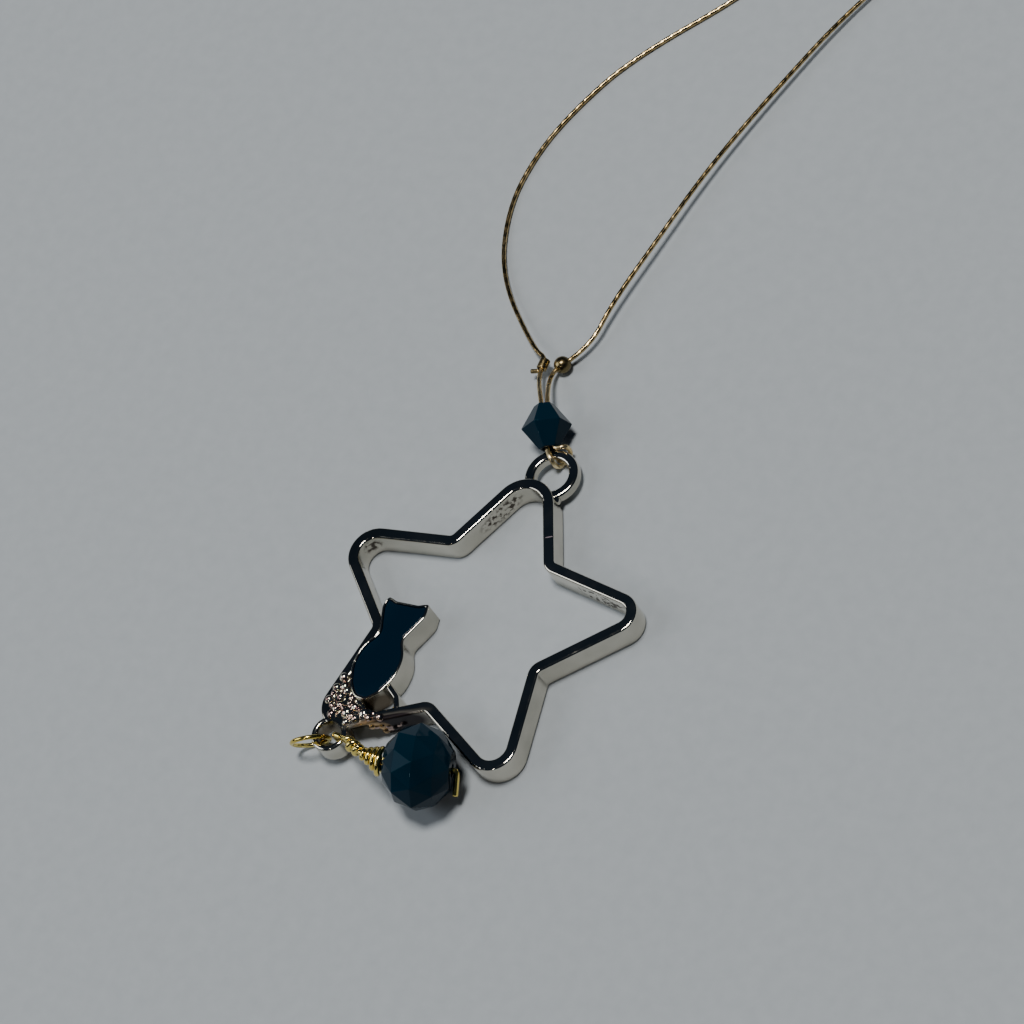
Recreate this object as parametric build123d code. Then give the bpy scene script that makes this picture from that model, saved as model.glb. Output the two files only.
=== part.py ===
from build123d import *
import os
from math import atan2, cos, degrees, radians, sin, tan

# A cast star pendant with a seated cat, on a doubled wire through a bicone bead, with a wrapped bead
# drop at the lower left tip and a necklace of stranded beading wire. It lies flat on its underside.
# Millimetres. Z is up, the pendant's upright is +Y, and the origin is on the underside of the band,
# in the middle of the star's top tip.

os.makedirs("parts", exist_ok=True)

# Star band: radii of its centre line's sharp corners, from the star's centre
tip_radius = 14.86
notch_radius = 7.40
band_width = 0.90
frame_height = 2.30
notch_round = 0.85
band_edge_round = 0.18

# Bored rings of the casting, with room under them for a wire
ring_lift = 0.50
ring_edge_round = 0.22
top_ring_bore = 1.42
top_ring_wall = 0.80
top_ring_height = 0.95
top_ring_bearing = 81.0
top_ring_overlap = 1.14
top_ring_foot = 0.42
low_ring_bore = 1.00
low_ring_wall = 0.50
low_ring_bearing = -95.5
low_ring_overlap = 0.95

# Seated cat, measured on its own upright from the middle of its base, which keeps its place on the star
cat_length = 8.40
cat_head_width = 3.90
cat_body_width = 4.00
cat_neck_width = 2.20
cat_rise = 0.12
cat_base_x = -0.381 * tip_radius
cat_base_y = -0.564 * tip_radius
cat_lean = -1.5
cat_ear_tilt = 5.4
cat_edge_round = 0.12
rim_width = 0.18
enamel_depth = 0.70
enamel_gap = 0.03
enamel_below_rim = 0.05

# Curled tail beside the cat's base
tail_reach = 3.26
tail_drop = 0.82
tail_rise = 1.78
tail_width = 0.46
tail_edge_round = 0.14

# Web between the bands in the lower left corner, and the relief under the low side
web_drop = 0.10
web_wedge_radius = 0.95
web_wedge_along = 3.05
web_wedge_outward = -3.05
relief_height = 1.55
relief_start = 2.20
relief_crest = 4.90
relief_end = 6.00
relief_reach = 0.60
relief_lean = 22.0

# Bicone bead, lying on one edge of its girdle
bicone_girdle = 4.00
bicone_end = 1.60
bicone_length = 3.60
bicone_sides = 6
bicone_bore = 1.05
bicone_bearing = 117.9
bicone_rise = 12.0
bicone_turn = -10.0
bicone_seat_gap = 0.06

# Wires and crimps
link_wire_diameter = 0.38
strand_diameter = 0.38
wire_gap = 0.06
wire_end_gap = 0.20
link_bow = 1.45
crimp_length = 0.90
crimp_diameter = 0.84
crimp_ball_diameter = 1.40
crimp_bore = 0.50

# Clasp
clasp_diameter = 2.40
clasp_waist = 1.90
clasp_length = 8.00
clasp_bore = 0.60

# Bead drop
bead_girdle = 6.75
bead_length = 5.10
bead_end = 3.00
bead_shoulder = 5.60
bead_shoulder_share = 0.60
bead_sides = 10
bead_bore = 1.00
bead_bearing = 15.8
bead_rise = -14.5
bead_centre_x = 0.1447 * tip_radius
bead_centre_y = -0.8405 * tip_radius
drop_wire_diameter = 0.45
wrap_turns = 4
wrap_pitch = 0.42
wrap_wide = 1.06
wrap_narrow = 0.36
wrap_gap = 0.06
wrap_lean_back = 0.50
wrap_lift = 0.40
hook_bearing = -6.0
hook_gap = 0.17
tail_wire_length = 1.95
tail_wire_stand_off = 0.10
tail_wire_turn = 50.0

# Jump ring
jump_ring_radius = 1.45
jump_ring_wire = 0.36
jump_ring_bearing = 207.0
jump_ring_offset = 1.76
jump_ring_lean = 17.0

# Rounds of the star's tips, clockwise from the top one, on the band's centre line
TIP_ROUNDS = {"top": 2.13, "right": 1.33, "low right": 1.65, "low left": 1.60, "left": 1.78}

# Shares of the cat's half outline: of its half width there, of its length, and its corner radius
CAT_HALF = (
    # of which width, share of half width, share of length, corner radius
    ("head", 0.00, 0.990, 0.00),
    ("head", 0.50, 1.000, 0.60),
    ("head", 0.90, 1.036, 0.16),
    ("head", 1.02, 0.925, 1.20),
    ("head", 0.78, 0.780, 1.50),
    ("neck", 0.98, 0.655, 0.90),
    ("body", 0.98, 0.485, 2.60),
    ("body", 1.00, 0.280, 2.80),
    ("body", 0.66, 0.100, 2.20),
    ("body", 0.25, 0.000, 0.90),
)

# Tail's middle line: shares of its reach to the right of the cat's middle and of its height, and radius
TAIL_PATH = (
    # share of reach, share of height, corner radius
    (0.49, 1.00, 0.00),
    (0.85, 0.72, 0.60),
    (1.00, 0.42, 0.45),
    (0.88, 0.10, 0.40),
    (0.62, 0.00, 0.50),
    (0.24, 0.04, 0.50),
    (0.02, 0.20, 0.00),
)

# Grains raised on the lower left corner, and lumps low on the outer wall of the low side
GRAINS = (
    # along the low side from its sharp corner, outward from its middle line, below the band's top, radius
    (3.21, -3.94, 0.10, 0.40), (2.60, -3.17, 0.10, 0.38), (1.96, -2.27, 0.10, 0.40),
    (2.88, -2.33, 0.12, 0.36), (3.41, -2.72, 0.14, 0.36), (2.70, -1.95, 0.16, 0.30),
    (2.45, -1.36, 0.10, 0.34), (2.82, -1.62, 0.08, 0.32), (3.84, -1.95, 0.12, 0.34),
    (3.66, -1.58, 0.12, 0.33), (4.01, -1.17, 0.14, 0.34), (4.32, -1.02, 0.16, 0.30),
    (4.10, -0.12, 0.08, 0.42), (3.29, -0.05, 0.14, 0.36), (5.15, 0.00, 0.14, 0.34),
    (6.02, 0.20, 0.14, 0.34), (3.35, -0.92, 0.34, 0.56), (4.72, -0.52, 0.34, 0.54),
    (2.10, -1.05, 0.30, 0.50), (3.22, -3.18, 0.30, 0.46), (5.12, 0.34, 0.72, 0.30),
    (5.85, 0.28, 0.95, 0.34), (5.90, 0.32, 1.75, 0.32), (6.77, 0.28, 1.50, 0.34),
    (7.56, 0.32, 1.20, 0.30),
)

# Routes of the necklace's wire, chosen by hand: the left and right strands, crimp to clasp
STRAND_LEFT = (
    (-4.63, 10.57, 1.00), (-4.64, 11.15, 1.00), (-6.20, 11.75, 0.80), (-12.20, 17.40, 0.35),
    (-14.60, 23.60, 0.20), (-14.45, 28.90, 0.20), (-13.10, 33.50, 0.20), (-10.20, 39.30, 0.20),
    (-2.40, 47.80, 0.20), (3.20, 57.50, 0.20), (4.60, 71.50, 0.20), (0.40, 89.00, 0.20),
    (-4.60, 110.50, 0.20), (-2.40, 134.00, 0.20), (11.50, 154.50, 0.20), (32.00, 166.50, 0.25),
    (50.50, 167.00, 0.70), (62.00, 162.42, 1.20), (67.34, 159.31, 1.20),
)
STRAND_RIGHT = (
    (-3.21, 11.03, 0.70), (-1.55, 12.95, 0.85), (-1.28, 16.90, 1.15), (-0.06, 23.10, 1.15),
    (1.30, 30.25, 1.05), (3.30, 37.30, 0.85), (6.80, 47.70, 0.60), (12.20, 57.00, 0.35),
    (23.40, 65.60, 0.20), (40.00, 71.60, 0.20), (60.50, 75.60, 0.20), (78.50, 88.00, 0.20),
    (88.00, 107.00, 0.20), (89.20, 127.50, 0.25), (83.60, 144.00, 0.70), (77.20, 153.57, 1.20),
    (72.36, 156.39, 1.20),
)


def keep(name, solid):
    """Write one piece, labelled with its node's name."""
    solid.label = name
    export_step(solid, f"parts/{name}.step")


def bearing(angle):
    """Unit vector in the plane at an angle from +X."""
    return Vector(cos(radians(angle)), sin(radians(angle)), 0)


def rounded_face(corners):
    """Closed outline with a round at each corner. Each corner is x, y and its radius."""
    points = [(x, y) for x, y, radius in corners]
    outline = FilletPolyline(*points, radius=[radius for x, y, radius in corners], close=True)
    return make_face(outline)


def plate(face, height, edge_round, foot=0.0):
    """Extrude a face from a height up, with its upper and lower edges rounded."""
    body = extrude(Pos(0, 0, foot) * face, height)
    faces = body.faces().sort_by(Axis.Z)
    return fillet(faces[-1].edges() + faces[0].edges(), edge_round)


def route_wire(points):
    """Straight runs joined by tangent arcs, each as large as its two runs allow."""
    spots = [Vector(*point) for point in points]
    radii = []
    for before, here, after in zip(spots, spots[1:], spots[2:]):
        run_in, run_out = here - before, after - here
        half_turn = radians(run_in.get_angle(run_out)) / 2
        radii.append(0.45 * min(run_in.length, run_out.length) / tan(half_turn))
    return FilletPolyline(*spots, radius=radii), radii


def tube(name, points, diameter):
    """Round wire along a route, with its radii and its volume against section times length."""
    path, radii = route_wire(points)
    start = Plane(origin=path @ 0, z_dir=path % 0)
    solid = sweep(start * Circle(diameter / 2), path)
    section = 3.141592653589793 * diameter**2 / 4
    ratio = solid.volume / section / path.length
    print(name, "length", round(path.length, 1), "volume ratio", round(ratio, 4))
    print(name, "radii", [round(radius, 2) for radius in radii])
    return solid


# Star's own geometry, about its centre
star_centre_angle = 36.0
tip_half_angle = degrees(
    atan2(
        notch_radius * sin(radians(star_centre_angle)),
        tip_radius - notch_radius * cos(radians(star_centre_angle)),
    )
)


def tip_arc_reach(tip):
    """How far from the star's centre the middle of a tip's round is."""
    return tip_radius - TIP_ROUNDS[tip] / sin(radians(tip_half_angle))


def tip_bearing(tip):
    """Angle of a tip from +X."""
    return 90 - 2 * star_centre_angle * list(TIP_ROUNDS).index(tip)


star_centre = Vector(0, -(tip_arc_reach("top") + TIP_ROUNDS["top"]), 0)


def sharp_tip(tip):
    """Where the centre line's two sides would meet at a tip."""
    return star_centre + bearing(tip_bearing(tip)) * tip_radius


def notch_after(tip):
    """Corner of the centre line in the notch clockwise of a tip."""
    return star_centre + bearing(tip_bearing(tip) - star_centre_angle) * notch_radius


def tip_arc(tip):
    """Middle of a tip's round."""
    return star_centre + bearing(tip_bearing(tip)) * tip_arc_reach(tip)


corners = []
for tip, tip_round in TIP_ROUNDS.items():
    corners.append((sharp_tip(tip).X, sharp_tip(tip).Y, tip_round))
    corners.append((notch_after(tip).X, notch_after(tip).Y, notch_round))
star_middle = rounded_face(corners)
star_outer = offset(star_middle, band_width / 2, kind=Kind.ARC)
star_inner = offset(star_middle, -band_width / 2, kind=Kind.ARC)


def ring_place(tip, angle, outer_radius, overlap):
    """Middle of a ring that grows out of a tip's round."""
    reach = TIP_ROUNDS[tip] + band_width / 2 + outer_radius - overlap
    return tip_arc(tip) + bearing(angle) * reach


top_ring = ring_place("top", top_ring_bearing, top_ring_bore + top_ring_wall, top_ring_overlap)
low_ring = ring_place("low left", low_ring_bearing, low_ring_bore + low_ring_wall, low_ring_overlap)
low_ring_height = frame_height - ring_lift


def bored_ring(middle, bore, wall, height):
    """Round ring standing on the casting's ring level."""
    face = Pos(middle.X, middle.Y) * (Circle(bore + wall) - Circle(bore))
    return plate(face, height, ring_edge_round, ring_lift)


def top_ring_body():
    """Ring behind the top tip, kept out of the star's opening, with a lump at its right foot."""
    ring = bored_ring(top_ring, top_ring_bore, top_ring_wall, top_ring_height)
    ring -= extrude(star_inner, frame_height)
    foot = top_ring + bearing(-58.0) * (top_ring_bore + top_ring_wall)
    return ring + Pos(foot.X, foot.Y, ring_lift + top_ring_height - top_ring_foot) * Sphere(top_ring_foot)


# Cat, on its own upright
cat_frame = Pos(star_centre.X + cat_base_x, star_centre.Y + cat_base_y) * Rot(0, 0, cat_lean)
half_widths = {"head": cat_head_width / 2, "neck": cat_neck_width / 2, "body": cat_body_width / 2}
right_half = [
    (share * half_widths[part], along * cat_length, radius) for part, share, along, radius in CAT_HALF
]
left_half = [(-x, y, radius) for x, y, radius in reversed(right_half[1:])]
ear_slope = tan(radians(cat_ear_tilt))
cat_face = rounded_face([
    (x, y + x * ear_slope if y > cat_length * 0.95 else y, radius)
    for x, y, radius in right_half[1:] + left_half
])
enamel_face = offset(cat_face, -rim_width, kind=Kind.ARC)


cat_height = frame_height + cat_rise


def enamel_field():
    """Room for the enamel, open upwards."""
    return cat_frame * extrude(Pos(0, 0, cat_height - enamel_depth) * enamel_face, enamel_depth * 2)


def cat_enamel():
    """Filling of the cat's field, just below its rim."""
    height = enamel_depth - enamel_gap - enamel_below_rim
    floor = cat_height - enamel_depth + enamel_gap
    face = offset(enamel_face, -enamel_gap, kind=Kind.ARC)
    filling = extrude(Pos(0, 0, floor) * face, height)
    top = filling.faces().sort_by(Axis.Z)[-1]
    return cat_frame * fillet(top.edges(), enamel_below_rim)


def cat_tail():
    """Band curled round a window beside the cat's base."""
    height = tail_rise + tail_drop
    points = [(share_x * tail_reach, share_y * height - tail_drop) for share_x, share_y, radius in TAIL_PATH]
    path = FilletPolyline(*points, radius=[radius for share_x, share_y, radius in TAIL_PATH[1:-1]])
    band = make_face(offset(path, tail_width / 2, side=Side.BOTH, kind=Kind.ARC))
    return cat_frame * plate(band, frame_height, tail_edge_round)


low_tip = sharp_tip("low left")
low_along = (notch_after("low right") - low_tip).normalized()
low_out = Vector(low_along.Y, -low_along.X, 0)


def on_low_side(along, outward):
    """Point counted along the low side from its sharp corner and outward from its middle line."""
    return low_tip + low_along * along + low_out * outward


def grains():
    """Raised grains of the lower left corner, most of each below the band's top."""
    made = []
    for along, outward, below, radius in GRAINS:
        spot = on_low_side(along, outward)
        made.append(Pos(spot.X, spot.Y, frame_height - below) * Sphere(radius))
    return made


def corner_web():
    """Metal between the two bands in the lower left corner, and in the wedge beside the cat."""
    corner = tip_arc("low left")
    wedge = on_low_side(web_wedge_along, web_wedge_outward)
    height = frame_height - web_drop
    align = (Align.CENTER, Align.CENTER, Align.MIN)
    web = Pos(corner.X, corner.Y) * Cylinder(TIP_ROUNDS["low left"], height, align=align)
    return web + Pos(wedge.X, wedge.Y) * Cylinder(web_wedge_radius, height, align=align)


def relief():
    """Room under the low side, where its underside rises towards the lower ring and outwards."""
    profile = Polyline(
        (relief_start, -relief_height * 2), (relief_start, relief_height), (relief_crest, relief_height),
        (relief_end, 0), (relief_end, -relief_height * 2), close=True,
    )
    lean = radians(relief_lean)
    outward = low_out * cos(lean) + Vector(0, 0, sin(lean))
    plane = Plane(origin=low_tip - low_out * relief_reach, x_dir=low_along, z_dir=outward)
    return plane.location * extrude(make_face(profile), relief_reach * 3)


def star_frame():
    """The whole casting."""
    window_side = cat_frame * Pos(tail_reach / 2, (tail_rise - tail_drop) / 2) * Box(
        tail_reach, tail_rise + tail_drop - tail_width, frame_height * 3
    )
    casting = plate(star_outer - star_inner, frame_height, band_edge_round)
    casting += corner_web() - window_side
    casting -= relief()
    casting += cat_frame * plate(cat_face, cat_height, cat_edge_round)
    casting += cat_tail()
    casting += top_ring_body()
    casting += bored_ring(low_ring, low_ring_bore, low_ring_wall, low_ring_height)
    casting -= Pos(low_ring.X, low_ring.Y) * Cylinder(low_ring_bore, frame_height * 3)
    casting += grains()
    return casting - enamel_field()


# Bicone bead: its axis rises a little to the crimps, and it rests almost on one corner of its girdle
bicone_ahead = bearing(bicone_bearing)
bicone_axis = bicone_ahead * cos(radians(bicone_rise)) + Vector(0, 0, sin(radians(bicone_rise)))
bicone_side = bearing(bicone_bearing - 90)
bicone_height = bicone_girdle / 2 * cos(radians(bicone_turn)) * cos(radians(bicone_rise))
bicone_half = bicone_length / 2 * cos(radians(bicone_rise))
bicone_reach = top_ring_bore + top_ring_wall + bicone_seat_gap + bicone_half
bicone_centre = Vector(top_ring.X, top_ring.Y, bicone_height) + bicone_ahead * bicone_reach


def bead_frame(centre, axis, up):
    """Plane whose Z is the bead's hole, with a girdle corner turned to the side."""
    return Plane(origin=centre, x_dir=axis.cross(up), z_dir=axis)


def ruled_rings(rings):
    """Faceted solid through rings of corners. Each ring is its place along Z, radius, sides and turn."""
    loops = []
    for along, radius, sides, turn in rings:
        step = 360 / sides
        loops.append([
            Vector(radius * cos(radians(step * (k + turn))), radius * sin(radians(step * (k + turn))), along)
            for k in range(sides)
        ])
    faces = [Face(Wire.make_polygon(loops[0])), Face(Wire.make_polygon(loops[-1]))]
    for low, high, low_ring_row, high_ring_row in zip(loops, loops[1:], rings, rings[1:]):
        sides = len(low)
        if low_ring_row[3] == high_ring_row[3]:
            for k in range(sides):
                corners = [low[k], low[(k + 1) % sides], high[(k + 1) % sides], high[k]]
                faces.append(Face(Wire.make_polygon(corners)))
            continue
        ahead = 1 if low_ring_row[3] > high_ring_row[3] else 0
        for k in range(sides):
            above = high[(k + ahead) % sides]
            faces.append(Face(Wire.make_polygon([low[k], low[(k + 1) % sides], above])))
            below = low[(k + 1 - ahead) % sides]
            faces.append(Face(Wire.make_polygon([high[k], high[(k + 1) % sides], below])))
    return Solid(Shell(faces))


def bicone_bead():
    """Two six-sided cones base to base, with small ends and a round hole."""
    half = bicone_length / 2
    turn = (90 + bicone_turn) * bicone_sides / 360
    body = ruled_rings([
        (-half, bicone_end / 2, bicone_sides, turn),
        (0, bicone_girdle / 2, bicone_sides, turn),
        (half, bicone_end / 2, bicone_sides, turn),
    ])
    body -= Cylinder(bicone_bore / 2, bicone_length * 2)
    return bead_frame(bicone_centre, bicone_axis, Vector(0, 0, 1)).location * body


# Large bead: its hole rises a little to the right, and it rests on the surface
bead_axis = Vector(
    bearing(bead_bearing).X * cos(radians(bead_rise)),
    bearing(bead_bearing).Y * cos(radians(bead_rise)),
    sin(radians(bead_rise)),
)
bead_spot = star_centre + Vector(bead_centre_x, bead_centre_y, 0)


def turned_bead():
    """Large faceted bead about its own middle, with its hole along the drop's axis."""
    half = bead_length / 2
    shoulder = half * bead_shoulder_share
    body = ruled_rings([
        (-half, bead_end / 2, bead_sides, 0),
        (-shoulder, bead_shoulder / 2, bead_sides, 0.5),
        (0, bead_girdle / 2, bead_sides, 0),
        (shoulder, bead_shoulder / 2, bead_sides, 0.5),
        (half, bead_end / 2, bead_sides, 0),
    ])
    body -= Cylinder(bead_bore / 2, bead_length * 2)
    return bead_frame(Vector(0, 0, 0), bead_axis, Vector(0, 0, 1)).location * body


bead_at_origin = turned_bead()
bead_centre = bead_spot + Vector(0, 0, -bead_at_origin.bounding_box().min.Z)
drop_bead = Pos(bead_centre) * bead_at_origin


tube_middle, ball_middle = Vector(*STRAND_LEFT[0]), Vector(*STRAND_RIGHT[0])
tube_axis = (Vector(*STRAND_LEFT[1]) - tube_middle).normalized()
ball_axis = (Vector(*STRAND_RIGHT[1]) - ball_middle).normalized()


def link_wire():
    """One wire, doubled through the bicone and round the top ring, ending in the two crimps."""
    side = link_wire_diameter / 2 + wire_gap / 3
    radius = link_wire_diameter / 2

    def in_bore(along, across):
        return bicone_centre + bicone_axis * along + bicone_side * across

    half = bicone_length / 2
    top_of_band = ring_lift + top_ring_height
    inside = top_ring + bicone_ahead * (top_ring_bore - radius - wire_gap * 3) + bicone_side * 0.2
    beyond = top_ring + bicone_ahead * (top_ring_bore + top_ring_wall - 0.1) + bicone_side * link_bow
    points = [
        tube_middle - tube_axis * wire_end_gap,
        tube_middle - tube_axis * crimp_length * 1.25,
        in_bore(half * 1.10, -side),
        in_bore(-half * 1.02, -side),
        Vector(inside.X, inside.Y, top_of_band + radius + wire_gap * 3),
        Vector(inside.X, inside.Y, radius),
        Vector(beyond.X, beyond.Y, radius),
        Vector(beyond.X, beyond.Y, bicone_height * 0.95),
        in_bore(-half * 1.13, side * 1.05),
        in_bore(half * 1.10, side),
        ball_middle - ball_axis * crimp_ball_diameter * 0.82,
        ball_middle - ball_axis * wire_end_gap,
    ]
    return tube("link_wire", [tuple(point) for point in points], link_wire_diameter)


def crimp_tube():
    """Short tube round the joint between the left leg and the left strand."""
    body = Cylinder(crimp_diameter / 2, crimp_length) - Cylinder(crimp_bore / 2, crimp_length * 2)
    rims = body.edges().filter_by(GeomType.CIRCLE).group_by(SortBy.RADIUS)[-1]
    body = fillet(rims, (crimp_diameter - crimp_bore) / 4)
    return Plane(origin=tube_middle, z_dir=tube_axis).location * body


def crimp_ball():
    """Round crimp, bored along the right strand."""
    body = Sphere(crimp_ball_diameter / 2) - Cylinder(crimp_bore / 2, crimp_ball_diameter * 2)
    return Plane(origin=ball_middle, z_dir=ball_axis).location * body


def clasp():
    """Plain barrel with a waist at each end, which takes both ends of the necklace's wire."""
    end_left, end_right = Vector(*STRAND_LEFT[-1]), Vector(*STRAND_RIGHT[-1])
    along = (end_right - end_left).normalized()
    middle = (end_left + end_right) * 0.5
    half = clasp_length / 2
    profile = FilletPolyline(
        (clasp_bore / 2, -half), (clasp_waist / 2, -half), (clasp_diameter / 2, -half * 0.7),
        (clasp_diameter / 2, half * 0.7), (clasp_waist / 2, half), (clasp_bore / 2, half),
        radius=[0.3, 0.8, 0.8, 0.3],
    )
    section = make_face(profile + Line((clasp_bore / 2, half), (clasp_bore / 2, -half)))
    body = revolve(Plane.XZ * section, Axis.Z)
    return Plane(origin=middle, z_dir=along).location * body


def drop_point(along, across=0.0, down=0.0):
    """Point on the drop's own axes, counted from the large bead's middle."""
    flat = Vector(-bead_axis.Y, bead_axis.X, 0).normalized()
    upright = bead_axis.cross(flat)
    return bead_centre + bead_axis * along + flat * across - upright * down


def drop_wire():
    """Wire through the large bead: hook over the lower ring's wall, wrapped cone, shank and bent tail."""
    radius = drop_wire_diameter / 2
    half = bead_length / 2
    cone_length = wrap_turns * wrap_pitch
    cone_foot = drop_point(-half - wrap_gap - radius)
    cone_tip = drop_point(-half - wrap_gap - radius - cone_length, wrap_lean_back, -wrap_lift)
    away = bearing(hook_bearing)
    hook_inside = low_ring + away * (low_ring_bore - radius - hook_gap)
    hook_outside = low_ring + away * (low_ring_bore + low_ring_wall)
    over_wall = frame_height + radius + wire_gap
    bend = drop_point(half + tail_wire_stand_off + radius)
    tail_end = drop_point(
        half + tail_wire_stand_off + radius,
        -tail_wire_length * sin(radians(tail_wire_turn)),
        tail_wire_length * cos(radians(tail_wire_turn)),
    )
    points = [
        Vector(hook_inside.X, hook_inside.Y, ring_lift),
        Vector(hook_inside.X, hook_inside.Y, over_wall),
        Vector(hook_outside.X, hook_outside.Y, over_wall),
        cone_tip,
        cone_foot,
        bend,
        tail_end,
    ]
    path = FilletPolyline(*points, radius=[0.36, 0.60, 0.60, 0.80, 0.42])
    start = Plane(origin=path @ 0, z_dir=path % 0)
    body = sweep(start * Circle(radius), path)
    section = 3.141592653589793 * radius**2
    ratio = body.volume / section / path.length
    print("drop_wire", "length", round(path.length, 1), "volume ratio", round(ratio, 4))
    for turn in range(wrap_turns):
        reach = wrap_wide + (wrap_narrow - wrap_wide) * turn / (wrap_turns - 1)
        middle = cone_foot + (cone_tip - cone_foot) * (turn / wrap_turns)
        frame = Plane(origin=middle, z_dir=bead_axis).location
        body += frame * Torus(reach, radius)
        body += frame * Cylinder(reach, radius)
    return body


def jump_ring():
    """Thin round ring through the lower ring, leaning to the front."""
    out = bearing(jump_ring_bearing)
    front = bearing(jump_ring_bearing + 90)
    lean = radians(jump_ring_lean)
    normal = front * cos(lean) - Vector(0, 0, 1) * sin(lean)
    height = jump_ring_radius * cos(lean) + jump_ring_wire / 2
    middle = low_ring + out * jump_ring_offset + Vector(0, 0, height)
    place = Plane(origin=middle, x_dir=out, z_dir=normal).location
    return place * Torus(jump_ring_radius, jump_ring_wire / 2)


keep("star_frame", star_frame())
keep("cat_enamel", cat_enamel())
keep("bicone_bead", bicone_bead())
keep("link_wire", link_wire())
keep("crimp_tube", crimp_tube())
keep("crimp_ball", crimp_ball())
keep("strand_left", tube("strand_left", STRAND_LEFT, strand_diameter))
keep("strand_right", tube("strand_right", STRAND_RIGHT, strand_diameter))
keep("clasp", clasp())
keep("drop_bead", drop_bead)
keep("drop_wire", drop_wire())
keep("jump_ring", jump_ring())
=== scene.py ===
from math import cos, pi, radians, sin

import bpy
from mathutils import Matrix, Vector


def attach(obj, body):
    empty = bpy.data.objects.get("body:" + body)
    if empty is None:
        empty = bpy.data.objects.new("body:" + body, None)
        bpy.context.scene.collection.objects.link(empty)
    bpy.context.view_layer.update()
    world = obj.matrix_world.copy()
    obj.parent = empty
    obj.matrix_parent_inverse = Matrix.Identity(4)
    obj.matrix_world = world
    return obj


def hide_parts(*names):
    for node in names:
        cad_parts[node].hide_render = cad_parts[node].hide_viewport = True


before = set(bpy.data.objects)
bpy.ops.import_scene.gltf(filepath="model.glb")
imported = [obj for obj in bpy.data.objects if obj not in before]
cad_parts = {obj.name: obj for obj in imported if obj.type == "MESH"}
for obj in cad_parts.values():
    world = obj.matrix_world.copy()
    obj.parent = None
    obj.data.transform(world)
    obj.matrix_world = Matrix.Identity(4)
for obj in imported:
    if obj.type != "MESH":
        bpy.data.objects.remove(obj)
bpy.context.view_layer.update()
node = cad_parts
bpy.ops.object.select_all(action="DESELECT")


# Camera: the photograph's own view, from the front right and well above, and a little rolled, so that
# the star's upright leans to the left in the picture. The back half of the necklace lies outside it.
mm = 0.001
camera_aim = Vector((-0.596, -2.681, 2.3)) * mm
camera_distance = 317.93 * mm
camera_right = Vector((0.84235, 0.40813, -0.35196))
camera_up = Vector((-0.21561, 0.85373, 0.47398))
camera_back = camera_right.cross(camera_up)
camera_data = bpy.data.cameras.new("photograph_camera")
camera_data.sensor_width = 36.0
camera_data.lens = 145.98
camera_data.clip_start, camera_data.clip_end = 0.01, 10.0
camera = bpy.data.objects.new("photograph_camera", camera_data)
bpy.context.scene.collection.objects.link(camera)
axes = Matrix((camera_right, camera_up, camera_back)).transposed()
camera.matrix_world = Matrix.Translation(camera_aim + camera_back * camera_distance) @ axes.to_4x4()
bpy.context.scene.camera = camera


# Floor and light: a plain pale surface in a dim room, with a soft lamp overhead, a wide weak one at
# the left and a small one in front. The casting's flat upper faces mirror the dark room, and its
# walls mirror the floor.
def material_with_shader(name):
    """New material, its nodes and links, its shader, and its Object coordinates."""
    material = bpy.data.materials.new(name)
    material.use_nodes = True
    nodes, links = material.node_tree.nodes, material.node_tree.links
    shader = nodes["Principled BSDF"]
    place = nodes.new("ShaderNodeTexCoord").outputs["Object"]
    return material, nodes, links, shader, place


floor_size = 1.6
floor_middle = (0.03, 0.07, -0.00001)
floor_grain = 900.0
bpy.ops.mesh.primitive_plane_add(size=floor_size, location=floor_middle)
floor = bpy.context.object
floor.name = "floor"
floor_paint, nodes, links, shader, place = material_with_shader("floor_paint")
noise = nodes.new("ShaderNodeTexNoise")
noise.inputs["Scale"].default_value = floor_grain
noise.inputs["Detail"].default_value = 3.0
links.new(place, noise.inputs["Vector"])
tint = nodes.new("ShaderNodeValToRGB")
tint.color_ramp.elements[0].color = (0.40, 0.44, 0.47, 1.0)
tint.color_ramp.elements[1].color = (0.47, 0.51, 0.54, 1.0)
links.new(noise.outputs["Fac"], tint.inputs["Fac"])
links.new(tint.outputs["Color"], shader.inputs["Base Color"])
shader.inputs["Roughness"].default_value = 0.85
shader.inputs["Specular IOR Level"].default_value = 0.2
floor.data.materials.append(floor_paint)


def lamp(name, towards, distance, size, power, colour):
    """Round area lamp that shines on the pendant from a direction."""
    data = bpy.data.lights.new(name, "AREA")
    data.shape = "DISK"
    data.size = size
    data.energy = power
    data.color = colour
    light = bpy.data.objects.new(name, data)
    bpy.context.scene.collection.objects.link(light)
    direction = Vector(towards).normalized()
    light.matrix_world = Matrix.Translation(direction * distance) @ direction.to_track_quat(
        "Z", "Y"
    ).to_matrix().to_4x4()


lamp("overhead_lamp", (0.02, 0.08, 0.995), 0.90, 0.24, 6.0, (1.0, 0.97, 0.93))
lamp("window_lamp", (-0.72, -0.36, 0.60), 1.20, 0.90, 4.4, (0.92, 0.96, 1.0))
lamp("glint_lamp", (0.10, -0.75, 0.65), 1.00, 0.06, 0.5, (1.0, 0.93, 0.84))
world = bpy.data.worlds.new("dim_room")
world.use_nodes = True
world.node_tree.nodes["Background"].inputs["Color"].default_value = (0.010, 0.016, 0.027, 1.0)
world.node_tree.nodes["Background"].inputs["Strength"].default_value = 1.0
bpy.context.scene.world = world


# Necklace's wire: six gilt steel wires laid round each other, in two strands from the crimps to the
# clasp, and one more length doubled through the bicone bead and round the ring of the casting.
wire_diameter = 0.38 * mm
wire_lay = 5.3 * mm
wires_in_strand = 6
groove_depth = 0.08
points_across_wire = 4
ring_step = 0.24 * mm

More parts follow.
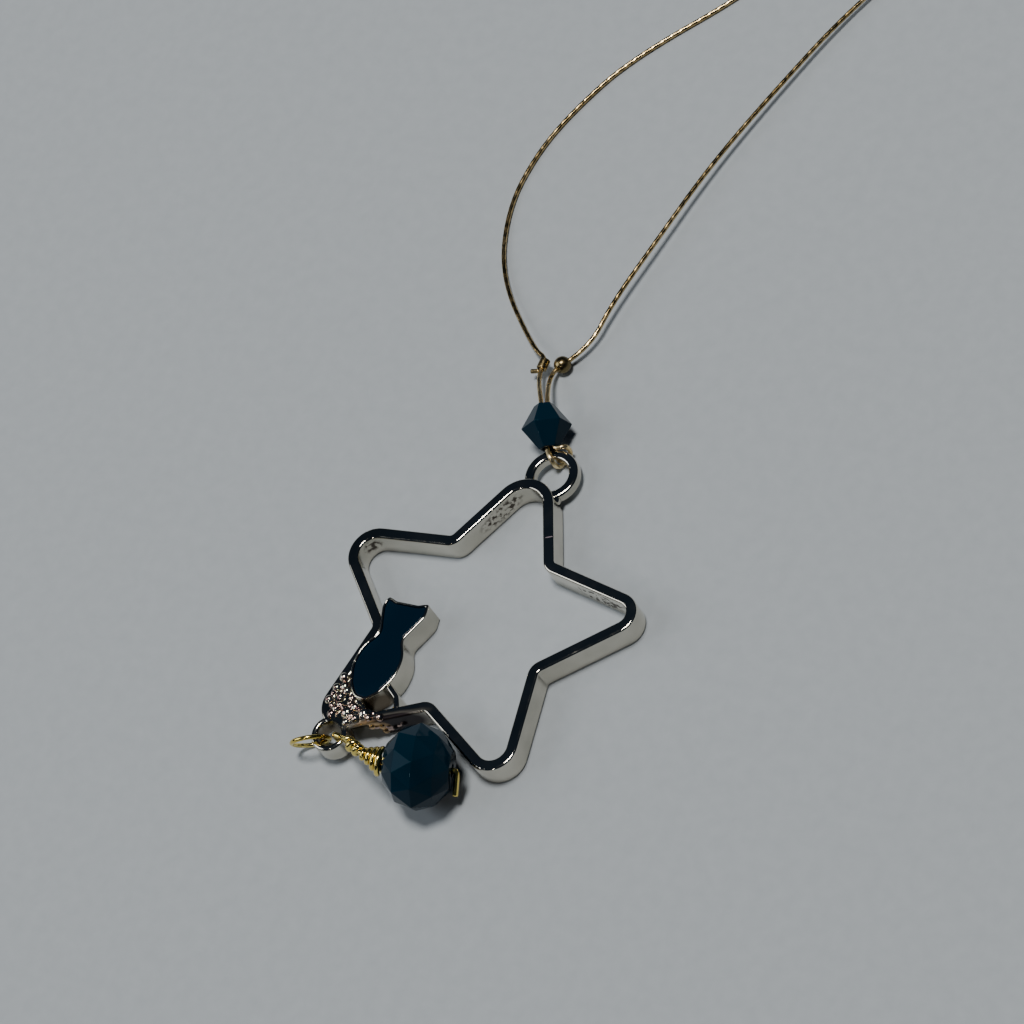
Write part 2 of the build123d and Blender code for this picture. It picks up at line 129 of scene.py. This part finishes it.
LEFT_ROUTE = (
    (-4.63, 10.57, 1.00), (-4.64, 11.15, 1.00), (-6.20, 11.75, 0.80), (-12.20, 17.40, 0.35),
    (-14.60, 23.60, 0.20), (-14.45, 28.90, 0.20), (-13.10, 33.50, 0.20), (-10.20, 39.30, 0.20),
    (-2.40, 47.80, 0.20), (3.20, 57.50, 0.20), (4.60, 71.50, 0.20), (0.40, 89.00, 0.20),
    (-4.60, 110.50, 0.20), (-2.40, 134.00, 0.20), (11.50, 154.50, 0.20), (32.00, 166.50, 0.25),
    (50.50, 167.00, 0.70), (62.00, 162.42, 1.20), (67.34, 159.31, 1.20),
)
RIGHT_ROUTE = (
    (-3.21, 11.03, 0.70), (-1.55, 12.95, 0.85), (-1.28, 16.90, 1.15), (-0.06, 23.10, 1.15),
    (1.30, 30.25, 1.05), (3.30, 37.30, 0.85), (6.80, 47.70, 0.60), (12.20, 57.00, 0.35),
    (23.40, 65.60, 0.20), (40.00, 71.60, 0.20), (60.50, 75.60, 0.20), (78.50, 88.00, 0.20),
    (88.00, 107.00, 0.20), (89.20, 127.50, 0.25), (83.60, 144.00, 0.70), (77.20, 153.57, 1.20),
    (72.36, 156.39, 1.20),
)
LINK_ROUTE = (
    (-4.63, 10.37, 1.00), (-4.61, 9.45, 1.00), (-2.41, 6.67, 2.34), (-0.66, 3.37, 1.54),
    (0.26, 2.51, 1.82), (0.26, 2.51, 0.19), (0.86, 4.04, 0.19), (0.86, 4.04, 1.83),
    (-0.19, 3.40, 1.50), (-2.04, 6.87, 2.34), (-3.96, 10.16, 0.63), (-3.34, 10.88, 0.69),
)


def spline_points(name, route):
    """Points along the smooth line that a wire's route guides."""
    curve = bpy.data.curves.new(name, "CURVE")
    curve.dimensions = "3D"
    curve.resolution_u = 48
    spline = curve.splines.new("NURBS")
    spline.points.add(len(route) - 1)
    for point, (x, y, z) in zip(spline.points, route):
        point.co = (x * mm, y * mm, z * mm, 1.0)
    spline.order_u = 3
    spline.use_endpoint_u = True
    holder = bpy.data.objects.new(name, curve)
    bpy.context.scene.collection.objects.link(holder)
    line = bpy.data.meshes.new_from_object(holder)
    points = [vertex.co.copy() for vertex in line.vertices]
    bpy.data.objects.remove(holder)
    bpy.data.meshes.remove(line)
    return points


def evenly(points, step):
    """The same line with its points a step apart."""
    length = sum((after - before).length for before, after in zip(points, points[1:]))
    count = round(length / step)
    gap = length / count
    spots, travelled, wanted = [points[0]], 0.0, gap
    for before, after in zip(points, points[1:]):
        run = (after - before).length
        while run > 0 and travelled + run >= wanted - 1e-9 and len(spots) < count:
            spots.append(before.lerp(after, (wanted - travelled) / run))
            wanted += gap
        travelled += run
    return spots + [points[-1]], gap


def wire_mesh(name, spots, section, turn_per_ring=0.0):
    """Closed mesh swept along a line. The section is a list of angles and reaches, and may turn."""
    vertices, faces = [], []
    around = len(section)
    side = Vector((0.0, 0.2, 1.0))
    for index, spot in enumerate(spots):
        along = (spots[min(index + 1, len(spots) - 1)] - spots[max(index - 1, 0)]).normalized()
        side = (side - along * side.dot(along)).normalized()
        other = along.cross(side)
        for angle, reach in section:
            turned = angle + turn_per_ring * index
            vertices.append(spot + (side * cos(turned) + other * sin(turned)) * reach)
    for index in range(len(spots) - 1):
        low, high = index * around, (index + 1) * around
        for k in range(around):
            ahead = (k + 1) % around
            faces.append((low + k, low + ahead, high + ahead, high + k))
    faces.append(tuple(range(around - 1, -1, -1)))
    last = (len(spots) - 1) * around
    faces.append(tuple(range(last, last + around)))
    mesh = bpy.data.meshes.new(name)
    mesh.from_pydata(vertices, [], faces)
    for face in mesh.polygons:
        face.use_smooth = len(face.vertices) == 4
    piece = bpy.data.objects.new(name, mesh)
    bpy.context.scene.collection.objects.link(piece)
    return piece


def stranded_wire(name, route, step):
    """Wires laid round each other along a route, with shallow grooves between them."""
    spots, gap = evenly(spline_points(name, route), step)
    section = []
    for k in range(wires_in_strand * points_across_wire):
        angle = 2 * pi * k / (wires_in_strand * points_across_wire)
        hollow = 1 - abs(cos(angle * wires_in_strand / 2))
        section.append((angle, wire_diameter / 2 * (1 - groove_depth * hollow)))
    return wire_mesh(name, spots, section, 2 * pi * gap / wire_lay)


def round_section(diameter, sides):
    """Section of a plain round wire."""
    return [(2 * pi * k / sides, diameter / 2) for k in range(sides)]


def polish_group():
    """Uneven polish that every finish here shares: a roughness and a height that change over it."""
    group = bpy.data.node_groups.new("uneven_polish", "ShaderNodeTree")
    for name, kind in (("Vector", "Vector"), ("Scale", "Float"), ("Smooth", "Float"), ("Rough", "Float")):
        group.interface.new_socket(name, in_out="INPUT", socket_type="NodeSocket" + kind)
    for name in ("Roughness", "Height"):
        group.interface.new_socket(name, in_out="OUTPUT", socket_type="NodeSocketFloat")
    start, end = group.nodes.new("NodeGroupInput"), group.nodes.new("NodeGroupOutput")
    noise = group.nodes.new("ShaderNodeTexNoise")
    noise.inputs["Detail"].default_value = 4.0
    noise.inputs["Roughness"].default_value = 0.6
    spread = group.nodes.new("ShaderNodeMapRange")
    spread.inputs["From Min"].default_value = 0.35
    spread.inputs["From Max"].default_value = 0.65
    group.links.new(start.outputs["Vector"], noise.inputs["Vector"])
    group.links.new(start.outputs["Scale"], noise.inputs["Scale"])
    group.links.new(noise.outputs["Fac"], spread.inputs["Value"])
    group.links.new(start.outputs["Smooth"], spread.inputs["To Min"])
    group.links.new(start.outputs["Rough"], spread.inputs["To Max"])
    group.links.new(spread.outputs["Result"], end.inputs["Roughness"])
    group.links.new(noise.outputs["Fac"], end.inputs["Height"])
    return group


uneven_polish = polish_group()


def polished(name, metallic, colours, scale, smooth, rough, bump):
    """Finish with two near colours in soft patches, an uneven polish and a fine bump."""
    material, nodes, links, shader, place = material_with_shader(name)
    polish = nodes.new("ShaderNodeGroup")
    polish.node_tree = uneven_polish
    polish.inputs["Scale"].default_value = scale
    polish.inputs["Smooth"].default_value = smooth
    polish.inputs["Rough"].default_value = rough
    links.new(place, polish.inputs["Vector"])
    links.new(polish.outputs["Roughness"], shader.inputs["Roughness"])
    patches = nodes.new("ShaderNodeTexNoise")
    patches.inputs["Scale"].default_value = scale / 3
    links.new(place, patches.inputs["Vector"])
    tint = nodes.new("ShaderNodeValToRGB")
    for element, place_on_ramp, colour in zip(tint.color_ramp.elements, (0.35, 0.65), colours):
        element.position = place_on_ramp
        element.color = (*colour, 1.0)
    links.new(patches.outputs["Fac"], tint.inputs["Fac"])
    links.new(tint.outputs["Color"], shader.inputs["Base Color"])
    height = nodes.new("ShaderNodeBump")
    height.inputs["Strength"].default_value = bump
    height.inputs["Distance"].default_value = 0.02 * mm
    links.new(polish.outputs["Height"], height.inputs["Height"])
    links.new(height.outputs["Normal"], shader.inputs["Normal"])
    shader.inputs["Metallic"].default_value = metallic
    return material


# One wire in two painted finishes: the strands' darker bronze is a shaded copy of it and the link's
# lighter gilt a lit copy.
shaded_wire_bronze = polished(
    "shaded_wire_bronze", 1.0, ((0.36, 0.25, 0.10), (0.56, 0.41, 0.20)), 1400.0, 0.12, 0.30, 0.10
)
lit_wire_gilt = polished(
    "lit_wire_gilt", 1.0, ((0.80, 0.58, 0.26), (0.96, 0.78, 0.46)), 1400.0, 0.22, 0.38, 0.08
)
for name, route, metal, slot in (
    ("strand_left", LEFT_ROUTE, shaded_wire_bronze, "stranded_wire"),
    ("strand_right", RIGHT_ROUTE, shaded_wire_bronze, "stranded_wire"),
    ("link_wire", LINK_ROUTE, lit_wire_gilt, "gold_wire"),
):
    strand = stranded_wire(name + "_laid", route, ring_step)
    strand.data.materials.append(metal)
    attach(strand, "root")
    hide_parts(name)


# Crimps: a small gilt tube pressed on the left joint of the wire and a round one on the right joint.
# The cut end of one wire stands out sideways under the left crimp.
crimp_gilt = polished(
    "crimp_gilt", 1.0, ((0.17, 0.13, 0.06), (0.46, 0.35, 0.17)), 1300.0, 0.16, 0.42, 0.70
)
for name in ("crimp_tube", "crimp_ball"):
    node[name].material_slots[0].material = crimp_gilt
STUB_ROUTE = ((-4.75, 9.98, 0.95), (-5.05, 9.86, 0.92), (-5.42, 9.80, 0.90))
stub = stranded_wire("crimp_stub", STUB_ROUTE, ring_step / 2)
stub.data.materials.append(crimp_gilt)
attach(stub, "root")


# Star casting: white metal cast in one piece, plated and buffed. Wear has tarnished it inside three of
# its arms. Painted shade, brown, fills the lower ring's bore and the tail's window; the wall beside the
# large bead has a painted dark reflection of the bead, and at its left end a painted warm reflection of
# the gold wire. A fine seam crosses the upper right arm.
def patch_group():
    """Soft-edged ellipsoid with a mottled rim, for marks at one place of a piece."""
    group = bpy.data.node_groups.new("soft_patch", "ShaderNodeTree")
    for name in ("Vector", "Centre", "Turn", "Size"):
        group.interface.new_socket(name, in_out="INPUT", socket_type="NodeSocketVector")
    group.interface.new_socket("Mask", in_out="OUTPUT", socket_type="NodeSocketFloat")
    start, end = group.nodes.new("NodeGroupInput"), group.nodes.new("NodeGroupOutput")
    own = group.nodes.new("ShaderNodeMapping")
    own.vector_type = "TEXTURE"
    reach = group.nodes.new("ShaderNodeVectorMath")
    reach.operation = "LENGTH"
    fade = group.nodes.new("ShaderNodeMapRange")
    fade.inputs["From Min"].default_value = 1.0
    fade.inputs["From Max"].default_value = 0.6
    group.links.new(start.outputs["Vector"], own.inputs["Vector"])
    group.links.new(start.outputs["Centre"], own.inputs["Location"])
    group.links.new(start.outputs["Turn"], own.inputs["Rotation"])
    group.links.new(start.outputs["Size"], own.inputs["Scale"])
    group.links.new(own.outputs["Vector"], reach.inputs[0])
    group.links.new(reach.outputs["Value"], fade.inputs["Value"])
    group.links.new(fade.outputs["Result"], end.inputs["Mask"])
    return group


soft_patch = patch_group()
# Marks on the casting, each table with the same columns
TARNISH = (
    # middle in mm, turn about Z in degrees, half sizes in mm
    ((-2.00, -2.40, 1.20), 65.0, (2.60, 0.60, 0.95)),
    ((9.30, -7.35, 1.20), -16.0, (3.10, 0.80, 1.10)),
    ((-11.30, -8.00, 1.40), -7.0, (1.60, 0.80, 0.80)),
)
# Painted shade, brown, in the lower ring's bore and in the tail's window; in the bore it also stands for a
# painted reflection of the gold wire
SHADED_HOLLOWS = (
    ((-6.85, -23.82, 1.20), 0.0, (1.60, 1.60, 1.70)),
    ((-4.50, -20.30, 1.00), 0.0, (2.20, 1.60, 1.60)),
)
# Painted dark reflection of the large bead on the low side's outer wall beside it
DARK_BEAD_REFLECTION = (
    ((-2.95, -21.55, 1.25), 27.9, (4.60, 0.62, 2.40)),
)
# Painted warm reflection of the gold wire at the left end of that wall
WARM_WIRE_REFLECTION = (
    ((-4.30, -22.30, 1.15), 27.9, (1.80, 0.80, 1.35)),
)
# Fine seam across the upper right arm
SEAM = (
    ((3.34, -3.91, 2.30), 26.0, (0.42, 0.06, 0.20)),
)


def mark_mask(nodes, links, place, marks):
    """Where any of a list of marks is."""
    joined = None
    for centre, turn, size in marks:
        patch = nodes.new("ShaderNodeGroup")
        patch.node_tree = soft_patch
        patch.inputs["Centre"].default_value = [value * mm for value in centre]
        patch.inputs["Turn"].default_value = (0.0, 0.0, radians(turn))
        patch.inputs["Size"].default_value = [value * mm for value in size]
        links.new(place, patch.inputs["Vector"])
        if joined is None:
            joined = patch.outputs["Mask"]
            continue
        both = nodes.new("ShaderNodeMath")
        both.operation = "MAXIMUM"
        links.new(joined, both.inputs[0])
        links.new(patch.outputs["Mask"], both.inputs[1])
        joined = both.outputs["Value"]
    return joined


def mixed(nodes, links, kind, mask, before, after):
    """Value or colour that goes from a link to a constant where a mask is."""
    mix = nodes.new("ShaderNodeMix")
    mix.data_type = kind
    first, second = (2, 3) if kind == "FLOAT" else (6, 7)
    links.new(mask, mix.inputs[0])
    links.new(before, mix.inputs[first])
    mix.inputs[second].default_value = after
    return mix.outputs[0 if kind == "FLOAT" else 2]


mottle_grain = 2600.0
cast_metal = polished(
    "plated_casting", 1.0, ((0.50, 0.475, 0.40), (0.68, 0.64, 0.55)), 700.0, 0.04, 0.11, 0.06
)
nodes, links = cast_metal.node_tree.nodes, cast_metal.node_tree.links
shader = nodes["Principled BSDF"]
place = next(one for one in nodes if one.type == "TEX_COORD").outputs["Object"]
mottle = nodes.new("ShaderNodeTexNoise")
mottle.inputs["Scale"].default_value = mottle_grain
mottle.inputs["Detail"].default_value = 3.0
links.new(place, mottle.inputs["Vector"])
spots = nodes.new("ShaderNodeMapRange")
spots.inputs["From Min"].default_value = 0.47
spots.inputs["From Max"].default_value = 0.58
links.new(mottle.outputs["Fac"], spots.inputs["Value"])
tarnished = nodes.new("ShaderNodeMath")
tarnished.operation = "MULTIPLY"
links.new(mark_mask(nodes, links, place, TARNISH), tarnished.inputs[0])
links.new(spots.outputs["Result"], tarnished.inputs[1])
colour, roughness = (shader.inputs[name].links[0].from_socket for name in ("Base Color", "Roughness"))
# Each mask blends in its colour and roughness: a painted dark reflection of the bead, a painted warm
# reflection of the gold wire, painted shade in the hollows, then the real tarnish and seam.
for mask, dull_colour, dull in (
    (mark_mask(nodes, links, place, DARK_BEAD_REFLECTION), (0.022, 0.018, 0.020, 1.0), 0.42),
    (mark_mask(nodes, links, place, WARM_WIRE_REFLECTION), (0.62, 0.42, 0.22, 1.0), 0.26),
    (mark_mask(nodes, links, place, SHADED_HOLLOWS), (0.15, 0.12, 0.085, 1.0), 0.24),
    (tarnished.outputs["Value"], (0.10, 0.085, 0.07, 1.0), 0.50),
    (mark_mask(nodes, links, place, SEAM), (0.30, 0.24, 0.28, 1.0), 0.45),
):
    colour = mixed(nodes, links, "RGBA", mask, colour, dull_colour)
    roughness = mixed(nodes, links, "FLOAT", mask, roughness, dull)
links.new(colour, shader.inputs["Base Color"])
links.new(roughness, shader.inputs["Roughness"])
node["star_frame"].material_slots[0].material = cast_metal


# Nuggets: raised lumps cast with the star on its lower left corner and low on its outer wall, run
# together as if half melted. Their warm pinkish tint is partly the metal's own and partly a painted
# reflection of the gold wire nearby. Each is a lump of the construction, a little larger, and a few
# small ones fill the places between.
warm_casting = polished(
    "warm_casting", 1.0, ((0.16, 0.10, 0.10), (0.74, 0.56, 0.47)), 1300.0, 0.07, 0.20, 0.04
)
low_corner = Vector((-8.7345, -24.1728, 0.0))
along_low_side = Vector((0.8839, 0.4677, 0.0))
out_of_low_side = Vector((0.4677, -0.8839, 0.0))
band_top = 2.30
nugget_rough = 0.17
nugget_turn, nugget_tip = 83.0, 57.0
melt_grid = 0.05
melt_repeats = 12
NUGGETS = (
    # along the low side from its sharp corner, outward, below the band's top, radius, all in mm
    (3.21, -3.94, 0.06, 0.42), (2.60, -3.17, 0.06, 0.40), (1.96, -2.27, 0.06, 0.42),
    (2.88, -2.33, 0.08, 0.38), (3.41, -2.72, 0.10, 0.38), (2.70, -1.95, 0.12, 0.32),
    (2.45, -1.36, 0.06, 0.36), (2.82, -1.62, 0.04, 0.34), (3.84, -1.95, 0.08, 0.36),
    (3.66, -1.58, 0.08, 0.35), (4.01, -1.17, 0.10, 0.36), (4.32, -1.02, 0.12, 0.32),
    (4.10, -0.12, 0.04, 0.44), (3.29, -0.05, 0.10, 0.38), (5.15, 0.02, 0.06, 0.40),
    (6.02, 0.18, 0.06, 0.40), (3.35, -0.92, 0.30, 0.60), (4.72, -0.52, 0.30, 0.57),
    (2.10, -1.05, 0.26, 0.54), (3.22, -3.18, 0.26, 0.49), (5.12, 0.34, 0.72, 0.34),
    (5.85, 0.28, 0.95, 0.38), (5.90, 0.32, 1.75, 0.36), (6.77, 0.28, 1.50, 0.38),
    (7.56, 0.32, 1.20, 0.34), (2.30, -2.75, 0.10, 0.30), (3.10, -1.30, 0.05, 0.28),
    (2.10, -1.75, 0.10, 0.28), (3.70, -0.50, 0.12, 0.30), (5.50, -0.30, 0.16, 0.26),
    (5.46, 0.30, 0.88, 0.32), (6.32, 0.26, 1.26, 0.36), (6.36, 0.24, 1.66, 0.34), (7.16, 0.26, 1.34, 0.32),
)
bpy.ops.object.select_all(action="DESELECT")
bpy.ops.mesh.primitive_ico_sphere_add(subdivisions=2, radius=1.0)
pattern = bpy.context.object
bpy.ops.object.mode_set(mode="EDIT")
bpy.ops.mesh.select_all(action="SELECT")
bpy.ops.transform.vertex_random(offset=nugget_rough, seed=4, normal=0.6)
bpy.ops.mesh.subdivide(number_cuts=1, smoothness=1.0)
bpy.ops.mesh.vertices_smooth(factor=0.5, repeat=4)
bpy.ops.object.mode_set(mode="OBJECT")
bpy.ops.object.shade_smooth()
lumps = []
for index, (along, outward, below, radius) in enumerate(NUGGETS):
    spot = low_corner + along_low_side * along + out_of_low_side * outward
    spot.z = band_top - below
    lump = pattern.copy()
    lump.data = pattern.data.copy()
    turn = Matrix.Rotation(radians(nugget_turn * index), 4, "Z")
    tip = Matrix.Rotation(radians(nugget_tip * index), 4, "X")
    lump.data.transform(Matrix.Translation(spot) @ turn @ tip @ Matrix.Scale(radius, 4))
    bpy.context.scene.collection.objects.link(lump)
    lumps.append(lump)
bpy.data.objects.remove(pattern)
bpy.ops.object.select_all(action="DESELECT")
for lump in lumps:
    lump.select_set(True)
bpy.context.view_layer.objects.active = lumps[0]
bpy.ops.object.join()
nuggets = bpy.context.object
nuggets.name = "star_nuggets"
melt = nuggets.modifiers.new("melt", "REMESH")
melt.mode = "VOXEL"
melt.voxel_size = melt_grid
melt.use_smooth_shade = True
bpy.ops.object.modifier_apply(modifier=melt.name)
soften = nuggets.modifiers.new("soften", "SMOOTH")
soften.iterations = melt_repeats
bpy.ops.object.modifier_apply(modifier=soften.name)
nuggets.data.transform(Matrix.Scale(mm, 4))
nuggets.data.materials.clear()
nuggets.data.materials.append(warm_casting)
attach(nuggets, "root")


# Cat's filling: black enamel poured into the rim, glossy and very slightly uneven.
enamel = polished(
    "black_enamel", 0.0, ((0.0015, 0.010, 0.022), (0.003, 0.014, 0.029)), 400.0, 0.03, 0.07, 0.05
)
enamel.node_tree.nodes["Principled BSDF"].inputs["IOR"].default_value = 1.40
node["cat_enamel"].material_slots[0].material = enamel


# Cat's rim: the casting's raised edge round the enamel, drawn up to a rounded bead. It follows the
# outline of the enamel's upper face a little outside it.
rim_outward = 0.17 * mm
rim_top = 2.43 * mm
rim_size = 0.20 * mm
rim_step = 0.10 * mm
rim_lift = Vector((0.0, 0.0, rim_top - rim_size / 2))
filling = node["cat_enamel"]
corners = [filling.matrix_world @ vertex.co for vertex in filling.data.vertices]
enamel_top = max(corner.z for corner in corners)


def same_place(corner):
    """Key of a place, so that corners of separate faces there count as one."""
    return round(corner.x / mm, 3), round(corner.y / mm, 3)


beside = {}
edge_count = {}
for face in filling.data.polygons:
    ring_of_face = [corners[index] for index in face.vertices]
    if min(corner.z for corner in ring_of_face) < enamel_top - 0.001 * mm:
        continue
    for first, second in zip(ring_of_face, ring_of_face[1:] + ring_of_face[:1]):
        key = frozenset((same_place(first), same_place(second)))
        if len(key) == 2:
            edge_count[key] = edge_count.get(key, 0) + 1
for key, count in edge_count.items():
    if count == 1:
        first, second = key
        beside.setdefault(first, []).append(second)
        beside.setdefault(second, []).append(first)
outline = [min(beside)]
outline.append(beside[outline[0]][0])
while len(outline) < len(beside):
    before, here = outline[-2:]
    outline.append(next(spot for spot in beside[here] if spot != before))
outline = [Vector((x, y, 0.0)) * mm for x, y in outline]
turning = sum(a.x * b.y - a.y * b.x for a, b in zip(outline, outline[1:] + outline[:1]))
if turning < 0:
    outline.reverse()
outline = evenly(outline + outline[:1], rim_step)[0][:-1]
rim_line = []
for before, spot, after in zip(outline[-1:] + outline[:-1], outline, outline[1:] + outline[:1]):
    along = (after - before).normalized()
    aside = Vector((along.y, -along.x, 0.0)) * rim_outward
    rim_line.append(spot + aside + rim_lift)
rim = wire_mesh("cat_rim", rim_line + rim_line[:1], round_section(rim_size, 10))
rim.data.materials.append(cast_metal)
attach(rim, "root")


# Beads: black glass cut in flat facets and drilled for the wire. Wear has rounded the edges a little,
# so they glint. Both are the solids of the construction with those edges added.
facet_edge = 0.045 * mm
black_glass = polished(
    "black_glass", 0.0, ((0.0015, 0.012, 0.022), (0.003, 0.017, 0.032)), 500.0, 0.02, 0.06, 0.03
)
glass_shader = black_glass.node_tree.nodes["Principled BSDF"]
glass_shader.inputs["IOR"].default_value = 1.42
glass_shader.inputs["Specular IOR Level"].default_value = 0.12
# Blue specular tint: a painted blue reflection on the glass's facets.
glass_shader.inputs["Specular Tint"].default_value = (0.45, 0.80, 1.0, 1.0)


def cut_bead(name):
    """Copy of a faceted bead with narrow rounded edges between its flat facets."""
    bpy.ops.object.select_all(action="DESELECT")
    bead = node[name].copy()
    bead.data = node[name].data.copy()
    bead.name = name + "_cut"
    bpy.context.scene.collection.objects.link(bead)
    place = bead.matrix_world.copy()
    bead.parent = None
    bead.matrix_world = Matrix.Identity(4)
    bead.data.transform(place)
    bead.select_set(True)
    bpy.context.view_layer.objects.active = bead
    if bead.data.has_custom_normals:
        bpy.ops.mesh.customdata_custom_splitnormals_clear()
    bpy.ops.object.mode_set(mode="EDIT")
    bpy.ops.mesh.select_all(action="SELECT")
    bpy.ops.mesh.remove_doubles(threshold=0.002 * mm)
    bpy.ops.mesh.dissolve_limited(angle_limit=radians(2.0))
    bpy.ops.mesh.normals_make_consistent(inside=False)
    bpy.ops.object.mode_set(mode="OBJECT")
    edges = bead.modifiers.new("edges", "BEVEL")
    edges.width = facet_edge
    edges.segments = 2
    edges.limit_method = "ANGLE"
    edges.angle_limit = radians(12.0)
    bpy.ops.object.modifier_apply(modifier=edges.name)
    bpy.ops.object.shade_smooth()
    flat = bead.modifiers.new("flat", "WEIGHTED_NORMAL")
    flat.weight = 100
    bpy.ops.object.modifier_apply(modifier=flat.name)
    return bead


for name in ("bicone_bead", "drop_bead"):
    bead = cut_bead(name)
    bead.data.materials.clear()
    bead.data.materials.append(black_glass)
    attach(bead, "root")
    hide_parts(name)


# Drop's wire: one bright yellow brass wire. It hooks over the lower ring's wall, is wrapped round
# itself in three loose turns and a cone against the large bead, runs through the bead, and is bent
# over on the far side.
drop_wire_diameter = 0.45 * mm
cone_foot = Vector((-0.49, -25.39, 3.82)) * mm
cone_tip = Vector((-2.10, -25.32, 4.63)) * mm
bead_axis = Vector((0.9316, 0.2636, -0.2504))
bead_flat = Vector((-0.2723, 0.9622, 0.0))
bead_upright = bead_axis.cross(bead_flat)
wrap_turns = 3.6
wrap_places = 3.0
wrap_wide, wrap_narrow, wrap_loose = 1.06 * mm, 0.36 * mm, 0.34 * mm
loose_turns, loose_share = 2.6, 0.66
points_per_turn = 18
hook_step = 0.12 * mm
wire_sides = 14
HOOK_ROUTE = (
    (-6.25, -23.88, 0.52), (-6.25, -23.88, 1.90), (-6.23, -23.88, 2.50), (-5.80, -23.93, 2.61),
    (-5.36, -23.98, 2.63), (-3.70, -24.65, 3.62), (-2.10, -25.32, 4.63), (-1.30, -25.36, 4.22),
    (-0.49, -25.39, 3.82), (1.00, -24.97, 3.42), (4.20, -24.06, 2.56), (4.72, -23.93, 2.42),
    (4.88, -24.02, 2.28), (4.90, -24.50, 1.90), (4.93, -25.39, 1.19),
)
bright_brass = polished(
    "bright_brass", 1.0, ((0.78, 0.58, 0.13), (0.94, 0.76, 0.24)), 900.0, 0.07, 0.20, 0.06
)
hook_spots = evenly(spline_points("drop_hook", HOOK_ROUTE), hook_step)[0]
hook = wire_mesh("drop_wire_laid", hook_spots, round_section(drop_wire_diameter, wire_sides))
loose_end = cone_tip.lerp(Vector(HOOK_ROUTE[4]) * mm, loose_share)
leg_axis = (cone_tip - loose_end).normalized()
leg_flat = Vector((0.0, 0.0, 1.0)).cross(leg_axis).normalized()
leg_upright = leg_axis.cross(leg_flat)
wraps = []
for index in range(round((wrap_turns + loose_turns) * points_per_turn) + 1):
    turn = index / points_per_turn
    loose = max(turn - wrap_turns, 0.0) / loose_turns
    reach = max(wrap_wide + (wrap_narrow - wrap_wide) * turn / wrap_places, wrap_loose)
    middle = cone_foot.lerp(cone_tip, min(turn, wrap_turns) / (wrap_places + 1)).lerp(loose_end, loose)
    turned = min(loose * loose_turns, 1.0)
    flat, upright = bead_flat.lerp(leg_flat, turned), bead_upright.lerp(leg_upright, turned)
    wraps.append(middle + (flat * cos(2 * pi * turn) + upright * sin(2 * pi * turn)) * reach)
cone = wire_mesh("drop_cone", wraps, round_section(drop_wire_diameter, wire_sides))
bpy.ops.object.select_all(action="DESELECT")
cone.select_set(True)
hook.select_set(True)
bpy.context.view_layer.objects.active = hook
bpy.ops.object.join()
hook.data.materials.append(bright_brass)
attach(hook, "root")
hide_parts("drop_wire")


# Jump ring: the same yellow brass, bent round from thinner wire, with its fine joint inside the lower
# ring of the casting.
jump_middle = Vector((-8.4152, -24.619, 1.5666)) * mm
jump_normal = Vector((0.4342, -0.8521, -0.2924))
jump_out = Vector((-0.8910, -0.4540, 0.0))
jump_radius = 1.45 * mm
jump_wire = 0.36 * mm
jump_joint = radians(3.0)
jump_joint_place = 0.5
jump_steps = 72
jump_side = jump_normal.cross(jump_out)
arc = []
for index in range(jump_steps + 1):
    angle = pi + jump_joint_place + jump_joint / 2 + (2 * pi - jump_joint) * index / jump_steps
    arc.append(jump_middle + (jump_out * cos(angle) + jump_side * sin(angle)) * jump_radius)
ring = wire_mesh("jump_ring_bent", arc, round_section(jump_wire, wire_sides))
ring.data.materials.append(bright_brass)
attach(ring, "root")
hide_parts("jump_ring")


# Clasp: a plain turned brass barrel at the back of the loop. Both ends of the necklace's wire go into
# its ends. It lies outside the picture, so only its finish is added here.
clasp_brass = polished(
    "clasp_brass", 1.0, ((0.70, 0.52, 0.22), (0.84, 0.66, 0.34)), 700.0, 0.12, 0.24, 0.05
)
node["clasp"].material_slots[0].material = clasp_brass
